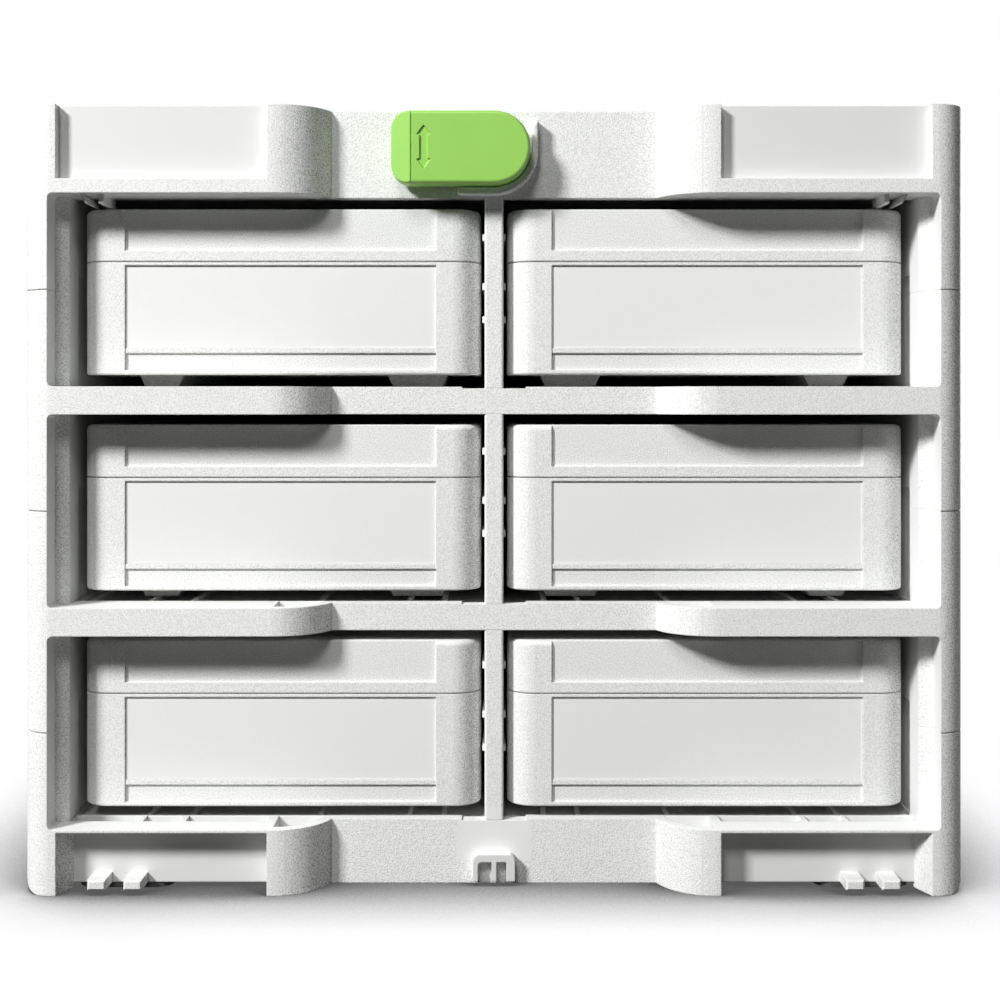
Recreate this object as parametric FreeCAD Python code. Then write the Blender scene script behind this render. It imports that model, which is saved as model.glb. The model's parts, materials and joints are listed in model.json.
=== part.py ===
import FreeCAD, Part
import math
import os

# Rack with six lidded cutter boxes. Millimetres, +Z up, the front faces -Y,
# the origin is on the ground under the middle of the rack.

V = FreeCAD.Vector
origin = V(0, 0, 0)
x_axis = V(1, 0, 0)
y_axis = V(0, 1, 0)
z_axis = V(0, 0, 1)
up = 1
down = -1

# ---------------------------------------------------------------- rack: driving dimensions

rack_width = 404.0
rack_depth = 296.0
corner_radius = 13.0         # upright corners, in plan
foot_corner_radius = 8.0     # lower corners, seen from the front
top_corner_radius = 2.0
skin = 2.2                   # moulded wall

row_count = 3
deck_height = 28.0           # ledge under the lowest boxes
row_opening = 82.4
shelf_height = 12.0
header_height = 37.8
groove_width = 0.5           # at the seams between the stacked mouldings
groove_depth = 0.6

jamb_width = 11.9            # front frame beside an opening
lip_depth = 11.0             # square part of the jamb behind the front
lip_slant = 2.0              # depth over which the jamb widens to the side wall
side_wall_width = 17.7
opening_radius = 2.2
side_pocket_front = 25.7     # shallow pocket in the inner side wall
side_pocket_height = 49.5
side_pocket_depth = 0.8
side_rib_front = 45.0        # guide rib above the pocket
side_rib_height = 52.0
side_rib_size = 2.6
side_rib_reach = 1.8
wall_cell_count = 5          # hollow cells inside each side wall
wall_end = 12.0              # solid end of a side wall, where the screws bite
side_recess_depth = 1.0
side_recess_margin = 22.0
side_recess_border = 6.0

cheek_width = 107.5          # flat face of each cheek
cheek_radius = 25.0
band_recess = 16.8
beam_depth = 23.0            # front beam of the deck and of each shelf
beam_web_pitch = 38.0
deck_drop = 2.5              # deck behind the beam lies this far below the ledge
runner_places = (22.0, 37.1, 76.4, 132.9, 151.6)   # from the middle of the rack
runner_width = 2.2
ceiling_rise = 6.6           # ceiling of the highest row behind the beam
ceiling_rib_place = 32.7     # upright rib and slanted rib under the ceiling beam, from the rack's side
ceiling_rib_pitch = 4.5
ceiling_rib_reach = 4.0
ceiling_rib_front = 4.0
ceiling_rib_lean = 2.6

cell_front = 13.2            # open cells in the base ledge
cell_back = 21.0
cell_depth = 12.0
cell_spans = ((18.0, 47.4), (49.6, 65.4), (68.1, 103.3))   # from the rack's side
cheek_wall = 5.0             # in front of the wedge-shaped cell behind each cheek
notch_span = 14.0            # shallow notch in every lip in front of the divider
notch_depth = 0.7

leg_width = 15.5             # corner leg beside the base pocket
pocket_depth = 11.0
pocket_roof = 1.2            # thin front edge of the ledge over the pocket
pocket_slant = 4.5
hook_places = (32.8, 48.2)   # from the rack's side
hook_width = 7.9
hook_bottom = 2.3
hook_height = 4.4
hook_bevel = 0.7
foot_place = 42.0            # oblong feet under the pocket wall, from the rack's side
foot_length = 41.0
foot_width = 14.0
foot_setback = 18.3
foot_pad_height = 2.4
foot_plug = 3.0
base_rib_bottom = 8.0

lug_width = 18.3             # catch lug at the foot of the band
lug_bottom = 2.2
lug_top = 13.7
lug_reach = 4.9
lug_radius = 3.0
lug_wall = 2.2
lug_roof = 3.2
lug_rib = 2.2
lug_rib_place = 6.4

# ---------------------------------------------------------------- header, cover, latch, handle

recess_border = 15.5         # open recess in each half of the header, from the rack's side
recess_floor = 6.1           # above the lower edge of the header
recess_depth = 4.7

cover_thickness = 2.5
cover_drop = 2.5             # below the rim
well_width = 168.0
well_gap = 2.5               # in front of the folded handle
well_height = 24.0
well_radius = 6.0
stack_recess = 1.2
handle_thickness = 11.0
handle_bar = 17.0
handle_arm = 15.0
handle_reach = 46.0
handle_radius = 9.0
handle_round = 2.7
handle_pin_radius = 3.0
handle_pin_length = 15.0
handle_boss_radius = 7.0
handle_boss_width = 6.0

pivot_height = 17.8          # of the latch, below the top of the rack
lever_tail = 44.0
lever_radius = 15.6
lever_tail_radius = 8.0
lever_front = 2.0            # behind the front plane
lever_thickness = 10.5
lever_wall = 2.6
lever_end = 8.5              # sloped grip end
lever_slope = 2.2
lever_round = 1.6
lever_groove = 0.5
boss_radius = 11.0
pin_radius = 4.0
pin_head_radius = 7.0
pin_head_height = 2.5
pin_bite = 7.0
washer_thickness = 1.2
guard_radius = 19.2          # rib round the pivot end of the lever
guard_width = 3.2
guard_side_width = 2.6
guard_reach = 6.5
guard_tail = 16.0
guard_rise = 13.3
guard_round = 0.9

# ---------------------------------------------------------------- divider, back, screws

post_width = 8.2
post_depth = 6.0
post_round = 1.0
divider_web = 2.4
divider_ribs = (28.2, 42.8, 64.5)
divider_rib_height = 2.9
divider_rib_tip = 5.1
divider_slot = 1.0           # the divider's tenons enter deck and ceiling this far

back_thickness = 2.5
back_border = 6.0
back_overlap = 8.0
back_field_depth = 0.8
back_field_margin = 12.0
screw_radius = 1.5
screw_head_radius = 2.6
screw_head_height = 1.6
screw_length = 11.0
screw_offset = 2.7

# ---------------------------------------------------------------- boxes

box_inner = 5.8              # side face beside the divider
box_side_gap = 3.5           # to the side wall of the rack
box_rear_gap = 26.7          # to the back panel
box_radius = 12.0
box_lift = 5.3               # body above the deck
tub_height = 49.7
lid_height = 22.8
box_wall = 2.0
box_floor = 2.0
tub_chamfer = 0.9
lid_round = 2.4
seam_height = 0.6
seam_inset = 0.9
panel_border = 19.5          # beside the recesses in the box front
panel_depth = 1.2
panel_bottom = 2.0
panel_rim = 1.9              # above the recess of the tub
card_lip_bottom = 9.4
card_lip_top = 11.6
card_thickness = 0.4
lid_panel_rise = 4.6
lid_top_border = 14.0
lid_top_recess = 0.8
lid_lip_depth = 3.0
lid_lip_wall = 1.2
skid_borders = (28.7, 30.8)  # from each side of the box to the middle of the skid
skid_tops = (27.0, 20.0)
skid_taper = 5.0
skid_front = 21.0
skid_back = 20.0
knuckle_radius = 3.2
knuckle_width = 22.0
knuckle_border = 39.5        # from each side of the box to the outer knuckles
hinge_pin_radius = 1.3
insert_height = 24.0
insert_top = 2.5
insert_wall = 1.6
bore_radius = 4.1
bore_depth = 20.0
bore_boss_wall = 2.2
bore_columns = 2
bore_rows = 3

# ---------------------------------------------------------------- clearances

seat_gap = 0.3               # between loose neighbours
fit_gap = 0.1                # plugs, tenons and cards in their seats
running_gap = 0.05           # radial, on pins
deep = 1.0                   # how far a cutting tool passes a face
touch = 0.001                # an edge this near to a face lies on it

# ---------------------------------------------------------------- derived places

half_width = rack_width / 2
front = -rack_depth / 2
back = rack_depth / 2
band_face = front + band_recess
beam_back = front + beam_depth
row_pitch = row_opening + shelf_height
rack_height = deck_height + row_count * row_pitch - shelf_height + header_height
ceiling = rack_height - header_height
lip_half = half_width - jamb_width
wall_half = half_width - side_wall_width
cheek_edge = half_width - cheek_width
deck_back = back - back_thickness
pivot_z = rack_height - pivot_height
box_outer = wall_half - box_side_gap
box_width = box_outer - box_inner
box_middle = box_inner + box_width / 2
box_back = deck_back - box_rear_gap
box_depth = box_back - band_face
panel_half = box_width / 2 - panel_border
panel_top = tub_height - panel_rim
knuckle_place = box_width / 2 - knuckle_border
skid_places = (box_inner + skid_borders[0], box_outer - skid_borders[1])
hinge_y = box_back + knuckle_radius + seat_gap
side_signs = (-1, 1)


def row_floor(row):
    """Height of the ledge that carries a row, counted from the lowest."""
    return deck_height + row * row_pitch


def seam(row):
    """Height of the seam between two stacked mouldings, at the middle of a row."""
    return row_floor(row) + row_opening / 2


# ---------------------------------------------------------------- drawing helpers

def block(x, y, z):
    """Box between the two limits given for each axis."""
    low = V(min(x), min(y), min(z))
    size = V(max(x), max(y), max(z)) - low
    return Part.makeBox(size.x, size.y, size.z, low)


def arc(start, through, end):
    """Round edge through three points."""
    return Part.Arc(start, through, end).toShape()


def face(corners):
    """Flat face in the XY plane through corners (x, y, radius), each rounded to its radius."""
    starts = []
    ends = []
    arcs = []
    count = len(corners)
    for index, (x, y, radius) in enumerate(corners):
        corner = V(x, y, 0)
        before = V(corners[index - 1][0], corners[index - 1][1], 0) - corner
        after = V(corners[(index + 1) % count][0], corners[(index + 1) % count][1], 0) - corner
        half = before.getAngle(after) / 2
        before.normalize()
        after.normalize()
        reach = radius / math.tan(half)
        starts.append(corner + before * reach)
        ends.append(corner + after * reach)
        bisector = before + after
        if radius > 0:
            bisector.normalize()
        arcs.append(corner + bisector * (radius / math.sin(half) - radius))
    edges = []
    for index, (x, y, radius) in enumerate(corners):
        if radius > 0:
            edges.append(arc(starts[index], arcs[index], ends[index]))
        following = starts[(index + 1) % count]
        if ends[index].distanceToPoint(following) > touch:
            edges.append(Part.makeLine(ends[index], following))
    return Part.Face(Part.Wire(edges))


def rectangle(x, y, radius=0.0):
    """Rectangular face with rounded corners, between two limits on each axis."""
    return face([(x[0], y[0], radius), (x[1], y[0], radius), (x[1], y[1], radius), (x[0], y[1], radius)])


def prism(flat, z):
    """Face drawn in plan, extruded between two heights."""
    lifted = flat.copy()
    lifted.translate(V(0, 0, min(z)))
    return lifted.extrude(V(0, 0, max(z) - min(z)))


def upright(flat, y):
    """Face drawn as (x, height), stood up and extruded between two depths."""
    stood = flat.copy()
    stood.rotate(origin, x_axis, 90)
    stood.translate(V(0, min(y), 0))
    return stood.extrude(V(0, max(y) - min(y), 0))


def rod(radius, start, length, axis):
    """Round bar from a point along an axis."""
    return Part.makeCylinder(radius, length, start, axis)


def joined(shapes):
    """One solid from touching or overlapping ones."""
    return shapes[0].multiFuse(list(shapes[1:])).removeSplitter()


def mirrored(shape):
    """The same shape on the other side of the rack."""
    return shape.mirror(origin, x_axis)


def rounded_edges(shape, radius, chosen):
    """Fillet the edges for which chosen(edge) holds."""
    return shape.makeFillet(radius, [edge for edge in shape.Edges if chosen(edge)])


def at_front(y):
    """Rule that picks the edges of a front face."""
    return lambda edge: edge.BoundBox.YMax < y + touch


def runs_along(edge, axis):
    """Whether a straight edge is parallel to an axis."""
    if not isinstance(edge.Curve, Part.Line):
        return False
    span = edge.Vertexes[-1].Point - edge.Vertexes[0].Point
    return span.cross(axis).Length < touch


def save(name, shapes):
    """Write one node, a solid or a group of alike solids."""
    shape = shapes if not isinstance(shapes, list) else Part.makeCompound(shapes)
    shape.exportStep("parts/" + name + ".step")


# ---------------------------------------------------------------- plan outlines of the rack

def plain_outline(inset=0.0):
    """Rounded rectangle of the rack, moved inwards by inset."""
    side = half_width - inset
    return rectangle((-side, side), (front + inset, back - inset), corner_radius - inset)


def banded_outline(inset=0.0):
    """Plan of header, shelves and base: two cheeks that curve back to a recessed middle band."""
    radius = cheek_radius - inset
    line = band_face + inset
    drop = cheek_radius - band_recess - inset
    foot = cheek_edge - math.sqrt(radius ** 2 - drop ** 2)
    turn = math.acos(drop / radius) / 2
    middle = V(cheek_edge - radius * math.sin(turn), front + cheek_radius - radius * math.cos(turn), 0)
    opposite = V(-middle.x, middle.y, 0)
    notch = Part.Wire([
        arc(V(-cheek_edge, front + inset, 0), opposite, V(-foot, line, 0)),
        Part.makeLine(V(-foot, line, 0), V(foot, line, 0)),
        arc(V(foot, line, 0), middle, V(cheek_edge, front + inset, 0)),
    ])
    corner = corner_radius - inset
    side = half_width - inset
    bend = corner * (1 - math.sqrt(0.5))
    rear = back - inset
    fore = front + inset
    rest = [
        Part.makeLine(V(cheek_edge, fore, 0), V(side - corner, fore, 0)),
        arc(V(side - corner, fore, 0), V(side - bend, fore + bend, 0), V(side, fore + corner, 0)),
        Part.makeLine(V(side, fore + corner, 0), V(side, rear - corner, 0)),
        arc(V(side, rear - corner, 0), V(side - bend, rear - bend, 0), V(side - corner, rear, 0)),
        Part.makeLine(V(side - corner, rear, 0), V(corner - side, rear, 0)),
        arc(V(corner - side, rear, 0), V(bend - side, rear - bend, 0), V(-side, rear - corner, 0)),
        Part.makeLine(V(-side, rear - corner, 0), V(-side, fore + corner, 0)),
        arc(V(-side, fore + corner, 0), V(bend - side, fore + bend, 0), V(corner - side, fore, 0)),
        Part.makeLine(V(corner - side, fore, 0), V(-cheek_edge, fore, 0)),
    ]
    return Part.Face(Part.Wire(notch.Edges + rest))


def bay_outline():
    """Plan of the space for a row: square lip, slanted step and straight side walls, open at the back."""
    return face([
        (-lip_half, front - deep, 0), (lip_half, front - deep, 0), (lip_half, front + lip_depth, 0),
        (wall_half, front + lip_depth + lip_slant, 0), (wall_half, back + deep, 0),
        (-wall_half, back + deep, 0), (-wall_half, front + lip_depth + lip_slant, 0),
        (-lip_half, front + lip_depth, 0),
    ])


def pocket_outline(outset=0.0):
    """Plan of the base pocket on the right: between the cheek's side and the slanted side of the leg."""
    rear = front + pocket_depth + outset
    inner = cheek_edge + skin - outset
    outer = half_width - leg_width + outset
    return face([
        (inner, front - deep, 0), (outer, front - deep, 0), (outer, front, 0),
        (outer - pocket_slant, rear, 0), (inner, rear, 0),
    ])


def recess_outline(outset=0.0):
    """Plan of the header recess on the right."""
    limits = (cheek_edge + skin - outset, half_width - recess_border + outset)
    return rectangle(limits, (front - deep, front + recess_depth + outset))


# ---------------------------------------------------------------- rack mouldings

def side_walls(bottom, top, cell_bottom, cell_top):
    """Both side walls with jambs, rear ends and upright hollow cells between their two skins."""
    ring = prism(plain_outline(), (bottom, top)).cut(prism(bay_outline(), (bottom, top)))
    cell_start = front + lip_depth + lip_slant + skin
    pitch = (back - wall_end + skin - cell_start) / wall_cell_count
    cells = []
    for sign in side_signs:
        for index in range(wall_cell_count):
            y = cell_start + index * pitch
            limits = (sign * (wall_half + skin), sign * (half_width - skin - side_recess_depth))
            cells.append(block(limits, (y, y + pitch - skin), (cell_bottom, cell_top)))
    return ring.cut(cells)


def side_details(bottom, top, rows):
    """Tools for the recessed field outside and the shallow pockets inside both side walls."""
    tools = []
    field = rectangle((side_recess_margin + front, back - side_recess_margin),
                      (bottom + side_recess_border, top - side_recess_border), side_recess_border)
    field.rotate(origin, x_axis, 90)
    field.rotate(origin, z_axis, 90)
    for sign in side_signs:
        recess = field.copy()
        recess.translate(V(sign * (half_width - side_recess_depth), 0, 0))
        tools.append(recess.extrude(V(sign * 2 * side_recess_depth, 0, 0)))
        for row in rows:
            low = max(bottom, row_floor(row))
            high = min(top, row_floor(row) + side_pocket_height)
            if high > low:
                tools.append(block((sign * (wall_half - deep), sign * (wall_half + side_pocket_depth)),
                                   (front + side_pocket_front, deck_back), (low, high)))
    return tools


def side_ribs(bottom, top, rows):
    """Guide rib along each side wall, clear of the box beside it."""
    ribs = []
    tip = wall_half - side_rib_reach
    for row in rows:
        low = row_floor(row) + side_rib_height
        if bottom < low < top:
            for sign in side_signs:
                ribs.append(block((sign * tip, sign * (wall_half + fit_gap)),
                                  (front + side_rib_front, deck_back), (low, low + side_rib_size)))
    return ribs


def runners(top):
    """Thin rails that stiffen a deck and carry the skids of the boxes."""
    half = runner_width / 2
    rails = []
    for sign in side_signs:
        for place in runner_places:
            rails.append(block((sign * place - half, sign * place + half), (beam_back, deck_back),
                               (top - deck_drop, top)))
    return rails


def deck(top):
    """Lowered plate behind the front beam."""
    return block((-wall_half, wall_half), (beam_back, deck_back), (top - deck_drop - skin, top - deck_drop))


def beam(bottom, top):
    """Solid front beam that follows the cheeks and the band."""
    strip = block((-wall_half, wall_half), (front - deep, beam_back), (bottom, top))
    lips = block((-lip_half, lip_half), (front - deep, front + lip_depth), (bottom, top))
    return prism(banded_outline(), (bottom, top)).common(strip.fuse(lips))


def cheek_cells(bottom, top, outset=0.0):
    """Tools for the wedge-shaped open cells behind the two cheeks."""
    plan = prism(banded_outline(cheek_wall - outset), (bottom, top))
    cells = []
    for sign in side_signs:
        limits = (sign * (cheek_edge - cheek_radius), sign * (cheek_edge + outset))
        cells.append(plan.common(block(limits, (front, front + cell_back + outset), (bottom, top))))
    return cells


def beam_cells(bottom, top):
    """Tools that hollow a beam from below, clear of the wedge cells, with webs left between them."""
    hollow = prism(banded_outline(skin), (bottom, top)).cut(cheek_cells(bottom, top, skin))
    count = int(2 * wall_half / beam_web_pitch)
    pitch = 2 * wall_half / count
    cells = []
    for index in range(count):
        x = index * pitch - wall_half
        strip = block((x + skin / 2, x + pitch - skin / 2), (front, beam_back - skin), (bottom, top))
        cells.append(hollow.common(strip))
    return cells


def lip_notch(top):
    """Tool for the shallow notch in a lip in front of the divider."""
    return block((-notch_span, notch_span), (front, beam_back), (top - notch_depth, top + deep))


def divider_groove(top, direction):
    """Tool for the groove that holds a divider's tenon, down into a deck or up into a ceiling."""
    half = divider_web / 2 + fit_gap
    depth = (band_face + post_depth, deck_back + deep)
    return block((-half, half), depth, (top, top + direction * divider_slot))


def tenon_rib(low, high):
    """Rib under a shelf or a ceiling that holds the upper tenon of a divider."""
    half = divider_web / 2 + fit_gap + skin
    return block((-half, half), (beam_back - skin, deck_back), (low, high))


def back_rebate():
    """Tool for the rebate that receives the back panel."""
    half = wall_half + back_border
    return block((-half, half), (deck_back, back + deep),
                 (deck_height - back_overlap, ceiling + back_overlap))


def screw_places():
    """Positions of the back panel's screws, two in each stacked moulding."""
    levels = [deck_height + back_overlap]
    for row in range(row_count - 1):
        levels.append(row_floor(row + 1) - shelf_height / 2)
    levels.append(ceiling - back_overlap)
    return [(sign * (wall_half + screw_offset), level) for sign in side_signs for level in levels]


def screw_bores():
    """Tools for the blind screw bores in the side walls' rear ends."""
    reach = screw_length - back_thickness + seat_gap
    return [rod(screw_radius + running_gap, V(x, deck_back - reach, z), reach + deep, y_axis)
            for x, z in screw_places()]


def seam_grooves(levels):
    """Tools for the thin grooves round the outside at the seams."""
    tools = []
    for level in levels:
        band = (level - groove_width / 2, level + groove_width / 2)
        slab = block((-rack_width, rack_width), (-rack_depth, rack_depth), band)
        tools.append(slab.cut(prism(plain_outline(groove_depth), band)))
    return tools


def rounded_silhouette():
    """Front view of the whole rack: larger radii at its feet than at its top."""
    flat = face([(-half_width, 0, foot_corner_radius), (half_width, 0, foot_corner_radius),
                 (half_width, rack_height, top_corner_radius), (-half_width, rack_height, top_corner_radius)])
    return upright(flat, (front - deep, back + deep))


def finished_moulding(shape, levels, cuts):
    """Cut the grooves, bores and rebate, and round the outer corners."""
    tools = seam_grooves(levels) + screw_bores() + [back_rebate()] + cuts
    return shape.cut(tools).common(rounded_silhouette()).removeSplitter()


def opening_corners(height, direction):
    """Fillets in the two corners of an opening, which rise from its floor or drop from its ceiling."""
    radius = opening_radius
    bend = radius * (1 - math.sqrt(0.5))
    fillets = []
    for side in side_signs:
        x = side * lip_half
        inward = -side
        flat = Part.Face(Part.Wire([
            Part.makeLine(V(x, height, 0), V(x + inward * radius, height, 0)),
            Part.Arc(V(x + inward * radius, height, 0),
                     V(x + inward * bend, height + direction * bend, 0),
                     V(x, height + direction * radius, 0)).toShape(),
            Part.makeLine(V(x, height + direction * radius, 0), V(x, height, 0)),
        ]))
        fillets.append(upright(flat, (front, front + lip_depth)))
    return fillets


def foot_face(side, rear, inset=0.0):
    """Plan of one oblong foot."""
    x = side * (half_width - foot_place)
    y = rear * (-front - foot_setback)
    half_length = foot_length / 2 - inset
    half = foot_width / 2 - inset
    return rectangle((x - half_length, x + half_length), (y - half, y + half), half - fit_gap)


def catch_lug():
    """Raised arch with two ribs at the foot of the band, where the latch of a lower case grips."""
    half = lug_width / 2
    roof = lug_top - lug_roof
    y = (band_face - lug_reach, band_face + fit_gap)
    arch = face([(-half, lug_bottom, 0), (half, lug_bottom, 0),
                 (half, lug_top, lug_radius), (-half, lug_top, lug_radius)])
    inner = half - lug_wall
    mouth = face([(-inner, lug_bottom - deep, 0), (inner, lug_bottom - deep, 0),
                  (inner, roof, lug_radius / 2), (-inner, roof, lug_radius / 2)])
    lug = upright(arch, y).cut(upright(mouth, (y[0] - deep, band_face)))
    ribs = []
    for x in (0, lug_rib_place):
        ribs.append(block((x - lug_rib / 2, x + lug_rib / 2), y, (lug_bottom, roof + fit_gap)))
    return [lug] + ribs


def base_hooks():
    """Two stub hooks in each base pocket, from its rear wall to the front."""
    hooks = []
    for side in side_signs:
        for place in hook_places:
            x = side * (half_width - place)
            hook = block((x - hook_width / 2, x + hook_width / 2), (front, front + pocket_depth + fit_gap),
                         (hook_bottom, hook_bottom + hook_height))
            rim = [edge for edge in hook.Edges if edge.BoundBox.YMax < front + deep]
            hooks.append(hook.makeChamfer(hook_bevel, rim))
    return hooks


def foot_posts():
    """Oblong posts behind the pocket walls and at the back, which carry the foot pads."""
    return [prism(foot_face(side, rear), (foot_pad_height, deck_height - deck_drop - skin))
            for side in side_signs for rear in side_signs]


def base_cells():
    """Tools for the open cells in the base ledge, behind the pocket wall."""
    heights = (deck_height - cell_depth, deck_height + deep)
    cells = cheek_cells(heights[0], heights[1])
    for near, far in cell_spans:
        for side in side_signs:
            limits = (side * (half_width - near), side * (half_width - far))
            cells.append(block(limits, (front + cell_front, front + cell_back), heights))
    return cells


def base_moulding():
    """Lowest moulding: skirt with cheeks, legs and pockets, the first deck and half a row of walls."""
    top = seam(0)
    deck_under = deck_height - deck_drop - skin
    cell_under = deck_height - cell_depth - skin
    skirt = prism(banded_outline(), (0, deck_height)).cut(prism(banded_outline(skin), (-deep, deck_height)))
    sheath = prism(pocket_outline(skin), (0, deck_height))
    sheaths = prism(banded_outline(), (0, deck_height)).common(sheath.fuse(mirrored(sheath)))
    ledge = prism(banded_outline(), (cell_under, deck_height)).common(
        block((-wall_half, wall_half), (front, beam_back), (0, deck_height)))
    lips = prism(banded_outline(), (deck_height - skin, deck_height)).common(
        block((-lip_half, lip_half), (front, front + lip_depth + lip_slant), (0, deck_height)))
    pieces = [skirt, sheaths, ledge, lips, deck(deck_height)]
    pieces.append(side_walls(0, top, foot_corner_radius, top + deep))
    for x in (-cheek_edge, 0, cheek_edge):
        pieces.append(block((x - skin / 2, x + skin / 2), (band_face + skin, back - skin),
                            (base_rib_bottom, deck_under)))
    pieces += foot_posts() + runners(deck_height) + catch_lug() + opening_corners(deck_height, up)
    body = joined(pieces)
    pocket = prism(pocket_outline(), (-deep, deck_height - pocket_roof))
    toe_space = block((cheek_edge + skin, half_width - leg_width - pocket_slant),
                      (front, front + pocket_depth + skin), (-deep, foot_pad_height))
    cuts = base_cells() + [pocket, mirrored(pocket), toe_space, mirrored(toe_space),
                           lip_notch(deck_height), divider_groove(deck_height - deck_drop, down)]
    for side in side_signs:
        for rear in side_signs:
            cuts.append(prism(foot_face(side, rear, skin), (-deep, cell_under - skin)))
    cuts += side_details(0, top, (0,))
    return joined([finished_moulding(body, (top,), cuts)] + base_hooks())


def shelf_moulding(row):
    """Middle moulding: the shelf under a row, with half a row of walls above it and below it."""
    floor = row_floor(row)
    under = floor - shelf_height
    bottom = seam(row - 1)
    top = seam(row)
    deck_under = floor - deck_drop - skin
    pieces = [beam(under, floor), deck(floor), side_walls(bottom, top, bottom - deep, top + deep)]
    pieces += runners(floor) + side_ribs(bottom, top, (row - 1, row))
    pieces += opening_corners(floor, up) + opening_corners(under, down)
    for x in (-cheek_edge, cheek_edge):
        pieces.append(block((x - skin / 2, x + skin / 2), (beam_back, deck_back), (under, deck_under)))
    pieces.append(block((-wall_half, wall_half), (-skin / 2, skin / 2), (under, deck_under)))
    pieces.append(tenon_rib(under, deck_under))
    body = joined(pieces)
    cuts = beam_cells(under - deep, floor - skin) + cheek_cells(under + skin, floor + deep)
    cuts += side_details(bottom, top, (row - 1, row))
    cuts += [lip_notch(floor), divider_groove(floor - deck_drop, down), divider_groove(under, up)]
    return finished_moulding(body, (bottom, top), cuts)


def raised_ceiling():
    """Ceiling of the highest row: beam plate, step and raised plate, with two small ribs at each side."""
    high = ceiling + ceiling_rise
    plate = prism(banded_outline(), (ceiling, ceiling + skin)).common(
        block((-wall_half, wall_half), (front, beam_back), (ceiling, rack_height)))
    lips = prism(banded_outline(), (ceiling, ceiling + skin)).common(
        block((-lip_half, lip_half), (front, front + lip_depth + lip_slant), (ceiling, rack_height)))
    step = block((-wall_half, wall_half), (beam_back - skin, beam_back), (ceiling, high + skin))
    raised = block((-wall_half, wall_half), (beam_back - skin, deck_back), (high, high + skin))
    ribs = []
    low = ceiling - ceiling_rib_reach
    root = ceiling + fit_gap
    depth = (front + ceiling_rib_front, beam_back)
    for sign in side_signs:
        x = half_width - ceiling_rib_place
        lower = x + ceiling_rib_pitch
        upper = lower + ceiling_rib_lean
        thick = skin / 2
        ribs.append(block((sign * x, sign * (x - skin)), depth, (low, root)))
        slanted = face([(sign * lower, low, 0), (sign * upper, root, 0),
                        (sign * (upper + thick), root, 0), (sign * (lower + thick), low, 0)])
        ribs.append(upright(slanted, depth))
    return [plate, lips, step, raised, tenon_rib(ceiling, high)] + ribs


def top_moulding():
    """Highest moulding: half a row of walls, the ceiling and the hollow header with its recesses."""
    bottom = seam(row_count - 1)
    rim = prism(banded_outline(), (ceiling, rack_height)).cut(
        prism(banded_outline(skin), (ceiling - deep, rack_height + deep)))
    sheath = prism(recess_outline(skin), (ceiling + recess_floor - skin, rack_height))
    sheaths = prism(banded_outline(), (ceiling, rack_height)).common(sheath.fuse(mirrored(sheath)))
    support = rack_height - cover_drop - cover_thickness
    pieces = [rim, sheaths, side_walls(bottom, support, bottom - deep, support - skin)] + raised_ceiling()
    for x in (-lip_half / 2, lip_half / 2):
        pieces.append(block((x - skin / 2, x + skin / 2), (front + beam_depth, back - skin),
                            (ceiling + ceiling_rise, support)))
    boss = rod(boss_radius, V(0, front + lever_front + lever_thickness + seat_gap, pivot_z),
               band_recess - lever_front - lever_thickness, y_axis)
    pieces += [boss, guard_rib()] + side_ribs(bottom, rack_height, (row_count - 1,))
    pieces += opening_corners(ceiling, down)
    body = joined(pieces)
    recess = prism(recess_outline(), (ceiling + recess_floor, rack_height + deep))
    pin_bore = rod(pin_radius + running_gap, V(0, front, pivot_z), band_recess + skin + deep, y_axis)
    cuts = [recess, mirrored(recess), pin_bore, divider_groove(ceiling, up)]
    cuts += side_details(bottom, rack_height, (row_count - 1,))
    return finished_moulding(body, (bottom,), cuts)


def guard_rib():
    """Bead round the latch's pivot: straight under the lever, then a quarter turn up its right side."""
    outer = guard_radius
    inner = guard_radius - guard_width
    side = guard_radius - guard_side_width
    end = guard_width / 2
    bend = math.sqrt(0.5)
    flat = Part.Face(Part.Wire([
        Part.makeLine(V(end - guard_tail, -outer, 0), V(0, -outer, 0)),
        Part.Arc(V(0, -outer, 0), V(outer * bend, -outer * bend, 0), V(outer, 0, 0)).toShape(),
        Part.makeLine(V(outer, 0, 0), V(outer, guard_rise, 0)),
        Part.makeLine(V(outer, guard_rise, 0), V(side, guard_rise - guard_side_width, 0)),
        Part.makeLine(V(side, guard_rise - guard_side_width, 0), V(side, 0, 0)),
        Part.Arc(V(side, 0, 0), V(inner * bend, -inner * bend, 0), V(0, -inner, 0)).toShape(),
        Part.makeLine(V(0, -inner, 0), V(end - guard_tail, -inner, 0)),
        Part.Arc(V(end - guard_tail, -inner, 0), V(-guard_tail, -outer + end, 0),
                 V(end - guard_tail, -outer, 0)).toShape(),
    ]))
    flat.translate(V(0, pivot_z, 0))
    near = band_face - guard_reach
    bead = upright(flat, (near, band_face + fit_gap))
    return rounded_edges(bead, guard_round, at_front(near))


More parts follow.
